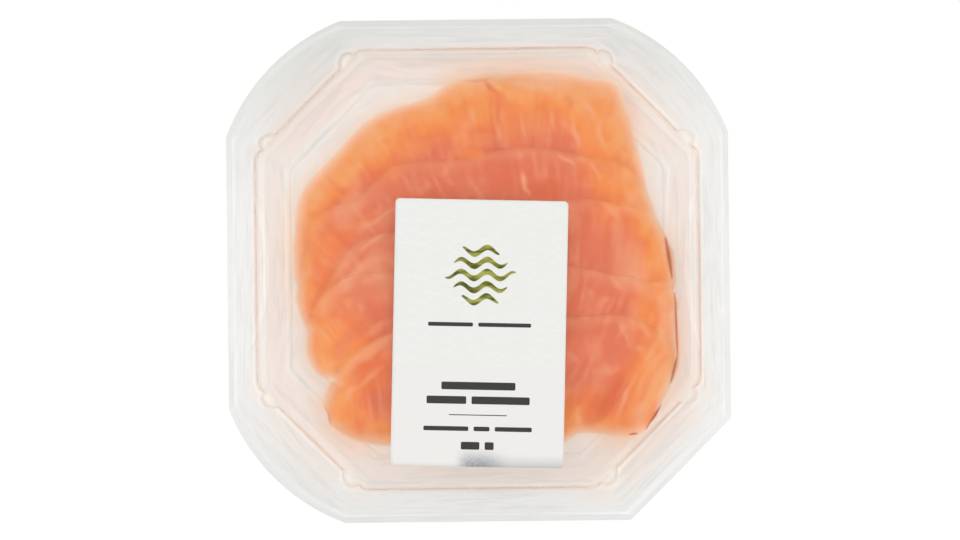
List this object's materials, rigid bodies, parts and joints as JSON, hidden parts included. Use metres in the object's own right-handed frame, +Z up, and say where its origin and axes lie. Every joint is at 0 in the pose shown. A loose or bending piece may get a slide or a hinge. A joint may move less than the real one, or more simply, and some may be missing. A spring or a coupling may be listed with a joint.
{
  "type": "pack of smoked salmon",
  "caption": "Shut eight-sided clear tray with a sealed film lid and a paper label, holding overlapping thin slices of smoked salmon.",
  "frame": {"origin": "on the surface that the tray stands on, under the middle of the tray's outline", "axes": "+Z up out of the film, +Y towards the head of the label, +X to the right of the label"},
  "size_m": [0.19, 0.19, 0.0151],
  "materials": {
    "tray_plastic": "clear thermoformed plastic, glossy",
    "film": "clear sealing film, glossy",
    "label_paper": "pearly coated paper, satin",
    "smoked_fish": "moist smoked salmon, satin"
  },
  "bodies": {
    "root": {"tray": "tray_plastic", "lid_film": "film", "label": "label_paper", "slice_1": "smoked_fish", "slice_2": "smoked_fish", "slice_3": "smoked_fish", "slice_4": "smoked_fish", "slice_5": "smoked_fish", "slice_6": "smoked_fish"}
  },
  "joints": []
}
